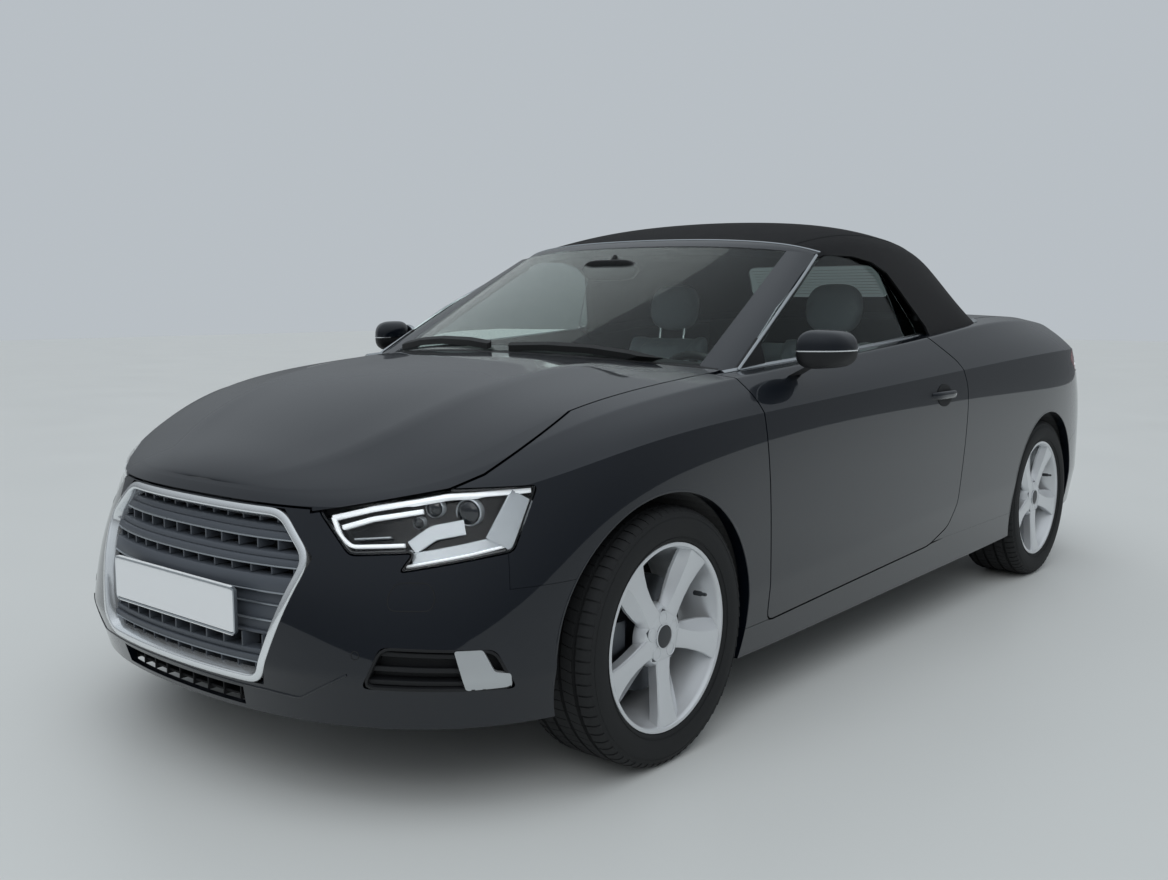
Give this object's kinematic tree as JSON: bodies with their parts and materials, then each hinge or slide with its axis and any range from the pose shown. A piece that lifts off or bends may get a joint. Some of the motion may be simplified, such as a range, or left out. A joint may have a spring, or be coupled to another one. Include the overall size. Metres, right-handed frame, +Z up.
{
  "type": "convertible car",
  "caption": "Compact four-seat convertible car with closed cloth top, two doors, bonnet, boot lid, steered front wheels and rolling wheels.",
  "frame": {"origin": "middle of the car's box, on the ground under the tyres", "axes": "+X to the car's left, +Y to its tail (forward is -Y), +Z up"},
  "size_m": [1.9576, 4.2818, 1.4079],
  "materials": {
    "paint": "gloss metallic, dark blue-grey",
    "body_steel": "satin black",
    "black_plastic": "matt",
    "frame_trim": "gloss",
    "grille_trim": "bright frame, dark grey slats",
    "lamp_clear": "clear cover over a dark housing",
    "lamp_red": "red lens",
    "window_glass": "clear, slightly green",
    "top_cloth": "black woven cloth",
    "seat_leather": "grey, stitched",
    "cabin_plastic": "soft grained",
    "wheel_leather": "black",
    "exhaust_steel": "satin",
    "tyre_rubber": "matt",
    "wheel_alloy": "silver lacquer",
    "hub_steel": "ground disc faces",
    "engine_metal": "cast",
    "plate_blank": "blank, pale"
  },
  "bodies": {
    "car_body": {"floor_pan": "body_steel", "bulkheads": "body_steel", "front_subframe": "body_steel", "wheel_liners": "black_plastic", "front_bumper": "paint", "grille": "grille_trim", "headlamps": "lamp_clear", "front_wings": "paint", "windscreen_frame": "frame_trim", "windscreen": "window_glass", "sills": "paint", "rear_quarters": "paint", "tonneau": "paint", "rear_bumper": "paint", "tail_lamps": "lamp_red", "soft_top": "top_cloth", "rear_window": "window_glass", "quarter_glass": "window_glass", "seat_front_left": "seat_leather", "seat_front_right": "seat_leather", "rear_seat": "seat_leather", "dashboard": "cabin_plastic", "interior_mirror": "cabin_plastic", "wipers": "black_plastic", "exhaust": "exhaust_steel", "rear_axle": "body_steel", "engine_block": "engine_metal", "plate_front": "plate_blank", "air_ducts": "black_plastic"},
    "bonnet": {"bonnet": "paint"},
    "boot_lid": {"boot_lid": "paint", "plate_rear": "plate_blank"},
    "door_left": {"door_left": "paint", "door_glass_left": "window_glass", "mirror_left": "paint"},
    "door_right": {"door_right": "paint", "door_glass_right": "window_glass", "mirror_right": "paint"},
    "knuckle_left": {"knuckle_left": "body_steel"},
    "knuckle_right": {"knuckle_right": "body_steel"},
    "steering_wheel": {"steering_wheel": "wheel_leather"},
    "wheel_front_left": {"tyre_front_left": "tyre_rubber", "rim_front_left": "wheel_alloy", "hub_front_left": "hub_steel"},
    "wheel_front_right": {"tyre_front_right": "tyre_rubber", "rim_front_right": "wheel_alloy", "hub_front_right": "hub_steel"},
    "wheel_rear_left": {"tyre_rear_left": "tyre_rubber", "rim_rear_left": "wheel_alloy", "hub_rear_left": "hub_steel"},
    "wheel_rear_right": {"tyre_rear_right": "tyre_rubber", "rim_rear_right": "wheel_alloy", "hub_rear_right": "hub_steel"}
  },
  "joints": [
    {"name": "bonnet_hinge", "type": "hinge", "parent": "car_body", "child": "bonnet", "pos_m": [0, -0.87, 0.948], "axis": [-1, 0, 0], "range_deg": [0, 55]},
    {"name": "boot_hinge", "type": "hinge", "parent": "car_body", "child": "boot_lid", "pos_m": [0, 1.33, 1.075], "axis": [1, 0, 0], "range_deg": [0, 80]},
    {"name": "door_left_hinge", "type": "hinge", "parent": "car_body", "child": "door_left", "pos_m": [0.89, -0.843, 0.5], "axis": [0, 0, -1], "range_deg": [0, 65]},
    {"name": "door_right_hinge", "type": "hinge", "parent": "car_body", "child": "door_right", "pos_m": [-0.89, -0.843, 0.5], "axis": [0, 0, 1], "range_deg": [0, 65]},
    {"name": "steer_left", "type": "hinge", "parent": "car_body", "child": "knuckle_left", "pos_m": [0.75, -1.326, 0.317], "axis": [0, 0, 1], "range_deg": [-35, 35]},
    {"name": "steer_right", "type": "hinge", "parent": "car_body", "child": "knuckle_right", "pos_m": [-0.75, -1.326, 0.317], "axis": [0, 0, 1], "range_deg": [-35, 35]},
    {"name": "steering_wheel_turn", "type": "hinge", "parent": "car_body", "child": "steering_wheel", "pos_m": [0.365, -0.43, 0.795], "axis": [0, 0.9063, 0.4226], "range_deg": [-540, 540]},
    {"name": "roll_front_left", "type": "hinge", "parent": "knuckle_left", "child": "wheel_front_left", "pos_m": [0.7775, -1.326, 0.317], "axis": [1, 0, 0], "continuous": true},
    {"name": "roll_front_right", "type": "hinge", "parent": "knuckle_right", "child": "wheel_front_right", "pos_m": [-0.7775, -1.326, 0.317], "axis": [1, 0, 0], "continuous": true},
    {"name": "roll_rear_left", "type": "hinge", "parent": "car_body", "child": "wheel_rear_left", "pos_m": [0.763, 1.269, 0.317], "axis": [1, 0, 0], "continuous": true},
    {"name": "roll_rear_right", "type": "hinge", "parent": "car_body", "child": "wheel_rear_right", "pos_m": [-0.763, 1.269, 0.317], "axis": [1, 0, 0], "continuous": true}
  ],
  "couplings": [
    {"joint": "steer_right", "follows": "steer_left", "ratio": 1},
    {"joint": "steering_wheel_turn", "follows": "steer_left", "ratio": 15.428}
  ]
}
